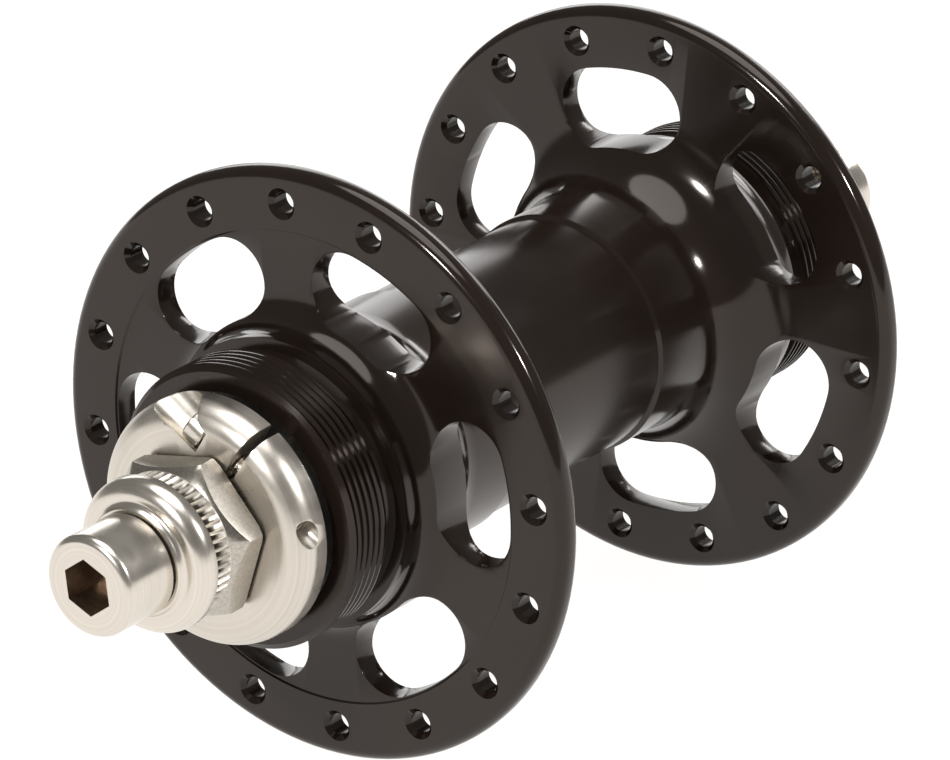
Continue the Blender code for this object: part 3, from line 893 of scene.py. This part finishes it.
# %% Bearing finishes
def small_part_finish(name, light, dark, metallic, smooth_part, rough_part, grain_size, depth):
    """A finish whose tone, sheen and surface follow one fine grain."""
    material, place = new_finish(name)
    grain = add(material, "TexNoise", inputs={
        "Vector": place.outputs["Object"], "Scale": 1 / grain_size, "Detail": 3.0,
    })
    tone = add(material, "Mix", {"data_type": "RGBA"}, {
        0: grain.outputs[0], 6: colour(dark), 7: colour(light),
    })
    sheen = add(material, "MapRange", inputs={
        "Value": grain.outputs[0], "To Min": smooth_part, "To Max": rough_part,
    })
    relief = add(material, "Bump", inputs={
        "Strength": 0.4, "Distance": depth, "Height": grain.outputs[0],
    })
    return finish_with(
        material, Base_Color=tone.outputs[2], Metallic=metallic,
        Roughness=sheen.outputs[0], Normal=relief.outputs[0],
    )


# %% Make the finishes
black = black_anodised_aluminium()
polished = turned_aluminium(
    "polished_aluminium_bar", light="#e4ded5", dark="#cbc4b9",
    smooth_part=0.20, rough_part=0.28, depth=0.004 * MM, spacing=0.4 * MM,
)
satin = turned_aluminium(
    "satin_turned_aluminium", light="#e0dad1", dark="#bdb6ab",
    smooth_part=0.26, rough_part=0.36, depth=0.008 * MM, spacing=0.3 * MM,
)
stainless = blasted_stainless_steel()
ground_steel = small_part_finish(
    "ground_bearing_steel", light="#d4d6d8", dark="#b9bbbd", metallic=1.0,
    smooth_part=0.08, rough_part=0.2, grain_size=0.5 * MM, depth=0.002 * MM,
)
brass = small_part_finish(
    "pressed_brass", light="#d0a860", dark="#a98443", metallic=1.0,
    smooth_part=0.2, rough_part=0.4, grain_size=0.6 * MM, depth=0.01 * MM,
)
rubber = small_part_finish(
    "moulded_nitrile_rubber", light="#1e1e1f", dark="#121213", metallic=0.0,
    smooth_part=0.5, rough_part=0.75, grain_size=0.4 * MM, depth=0.02 * MM,
)

# %% [markdown]
# The teeth of the nut are cut and then left alone. Their gaps are coloured dark as painted shade,
# and only the tips keep the steel's bright colour. The walls of the key sockets, cut by a broach,
# are coloured darker as well, as painted shade.


# %% Toothed steel and socket walls
def toothed_steel_with_painted_shade():
    steel, place = new_finish("toothed_steel_painted_gap_shade")
    radius = add(steel, "SeparateXYZ", inputs={0: lathe_place(steel, place)})
    grain = add(steel, "TexNoise", inputs={
        "Vector": place.outputs["Object"], "Scale": 1 / (0.5 * MM), "Detail": 3.0,
    })
    uneven = add(steel, "Math", {"operation": "MULTIPLY_ADD"}, {
        0: grain.outputs[0], 1: 0.5 * TOOTH, 2: radius.outputs["X"],
    })
    tip = add(steel, "MapRange", inputs={
        "Value": uneven.outputs[0],
        "From Min": RING_RADIUS - 0.4 * TOOTH, "From Max": RING_RADIUS + 0.2 * TOOTH,
    })
    # Painted shade: by radius, the gaps between the teeth are coloured dark and only the tips stay
    # bright.
    tone = add(steel, "Mix", {"data_type": "RGBA"}, {
        0: tip.outputs[0], 6: colour("#3a342e"), 7: colour("#d8d2c8"),
    })
    return finish_with(steel, Base_Color=tone.outputs[2], Metallic=1.0, Roughness=0.36)


toothed = toothed_steel_with_painted_shade()
# Painted shade: the walls of the deep key sockets get a dark brown tone that stands in for the
# shade inside them.
socket_painted_shade = small_part_finish(
    "key_socket_painted_shade", light="#a3917f", dark="#6b5c4e", metallic=1.0,
    smooth_part=0.35, rough_part=0.5, grain_size=0.6 * MM, depth=0.02 * MM,
)

# %% Put the finishes on the new pieces
PIECE_FINISHES = {
    "track_hub_shell": black, "hollow_axle": polished, "pinch_screw": polished,
    "preload_collar_split": satin, "left_collar": satin,
}
for label in SIDES:
    PIECE_FINISHES[label + "_bolt"] = PIECE_FINISHES[label + "_washer"] = polished
    PIECE_FINISHES[label + "_nut"] = stainless
for name, finish in PIECE_FINISHES.items():
    bpy.data.objects[name].data.materials.append(finish)


def second_finish(piece, finish, covers):
    """Gives a second finish to the faces whose radius and place out are covered."""
    piece.materials.append(finish)
    for face in piece.polygons:
        x, y, z = face.center
        if covers(math.hypot(x, z), abs(y)):
            face.material_index = 1


def in_socket(radius, out):
    deepest = BOLT_TIP - KEY_DEPTH - 2 * MM
    return radius < KEY_FLATS / math.sqrt(3) and deepest < out < BOLT_TIP - 0.02 * MM


def on_teeth(radius, out):
    return out > NUT_FRONT + 0.02 * MM and radius > BORE + 0.3 * MM


# The socket walls and the tooth gaps get the finishes that carry painted shade.
for label in SIDES:
    second_finish(bpy.data.objects[label + "_bolt"].data, socket_painted_shade, in_socket)
    second_finish(bpy.data.objects[label + "_nut"].data, toothed, on_teeth)
print(len(PIECE_FINISHES), "new pieces have their finish")

# %% Put the finishes on the bearings
BEARING_FINISHES = {"bearing_steel": ground_steel, "cage_brass": brass, "seal_rubber": rubber}
dressed = 0
for node in bpy.data.objects:
    if "_bearing_" in node.name:
        slot = node.material_slots[0]
        slot.material = BEARING_FINISHES[slot.material.name]
        dressed += 1
print(dressed, "bearing parts have their finish")

# %% [markdown]
# ## Studio
#
# The hub lies on a light table: a pale floor that glows, which keeps its shadow faint
# and lights the hub from below. Polished metal shows what stands round it, so the room
# is dim, and the soft boxes are the bright shapes that the metal mirrors. Two small lamps
# give the hot spots on the rounds and the bright lines on the thread.

# %% Floor
deselect()
FLOOR_SIZE, FLOOR_GAP = 6.0, 0.2 * MM
bpy.ops.mesh.primitive_plane_add(size=FLOOR_SIZE, location=(0, 0, frame_low[2] - FLOOR_GAP))
floor = named("light_table")
table_top, place = new_finish("light_table_top")
speckle = add(table_top, "TexNoise", inputs={
    "Vector": place.outputs["Object"], "Scale": 1 / (2 * MM),
})
paper = add(table_top, "Mix", {"data_type": "RGBA"}, {
    0: speckle.outputs[0], 6: colour("#5a5855"), 7: colour("#605e5b"),
})
finish_with(
    table_top, Base_Color=paper.outputs[2], Roughness=0.9, Specular_IOR_Level=0.0,
    Emission_Color=colour("#fffdfb"), Emission_Strength=1.0,
)
floor.data.materials.append(table_top)

# %% Room and soft boxes
world = bpy.data.worlds.new("grey room")
bpy.context.scene.world = world
world.use_nodes = True
room = world.node_tree.nodes["Background"]
room.inputs["Color"].default_value = colour("#cfccc8")
room.inputs["Strength"].default_value = 0.35


def soft_box(name, azimuth, height, distance, width, length, brightness):
    """An oval light that faces the hub. Azimuth 0 is straight in front of the right-hand
    end, and height is above the horizon, both in degrees. Brightness 1 looks as bright as
    the floor, so the watts follow from it and from the size of the box.
    """
    turn, lift = math.radians(azimuth), math.radians(height)
    towards = Vector((
        math.sin(turn) * math.cos(lift), -math.cos(turn) * math.cos(lift), math.sin(lift),
    ))
    deselect()
    bpy.ops.object.light_add(
        type="AREA", location=towards * distance,
        rotation=towards.to_track_quat("Z", "Y").to_euler(),
    )
    light = bpy.context.object
    light.name = light.data.name = name
    light.data.shape = "ELLIPSE"
    light.data.size, light.data.size_y = width, length
    light.data.energy = brightness * math.pi * (math.pi / 4 * width * length)
    print(name, round(light.data.energy, 2), "W")


soft_box(
    "overhead soft box", azimuth=0, height=88, distance=1.1,
    width=1.0, length=1.1, brightness=3.2,
)
soft_box(
    "back soft box", azimuth=178, height=30, distance=1.1,
    width=0.5, length=0.12, brightness=9,
)
soft_box(
    "white wall behind", azimuth=-157, height=15, distance=1.3,
    width=1.9, length=0.65, brightness=2.4,
)
soft_box(
    "front lamp", azimuth=1, height=33, distance=1.2,
    width=0.13, length=0.13, brightness=220,
)
soft_box(
    "side lamp", azimuth=105, height=34, distance=1.2,
    width=0.11, length=0.11, brightness=300,
)
bpy.context.scene.view_settings.view_transform = "Standard"

# %% [markdown]
# ## Camera
#
# A long lens from three quarters of a metre away keeps the two flanges nearly the same
# shape, and looks down on the hub's right-hand end.

# %% Camera
AZIMUTH, ELEVATION, DISTANCE = math.radians(36.772), math.radians(23.651), 750.8 * MM
MOVE_LEFT, MOVE_DOWN, LENS, SENSOR = 1.55 * MM, 0.84 * MM, 235.3, 36.0
back = Vector((
    math.sin(AZIMUTH) * math.cos(ELEVATION),
    -math.cos(AZIMUTH) * math.cos(ELEVATION),
    math.sin(ELEVATION),
))
across = Vector((0, 0, 1)).cross(back).normalized()
above = back.cross(across)
bpy.ops.object.camera_add(
    location=back * DISTANCE - across * MOVE_LEFT - above * MOVE_DOWN,
    rotation=back.to_track_quat("Z", "Y").to_euler(),
)
camera = bpy.context.object
camera.name = camera.data.name = "studio_camera"
camera.data.lens, camera.data.sensor_width = LENS, SENSOR
bpy.context.scene.camera = camera
print("camera at", [round(c, 4) for c in camera.location])
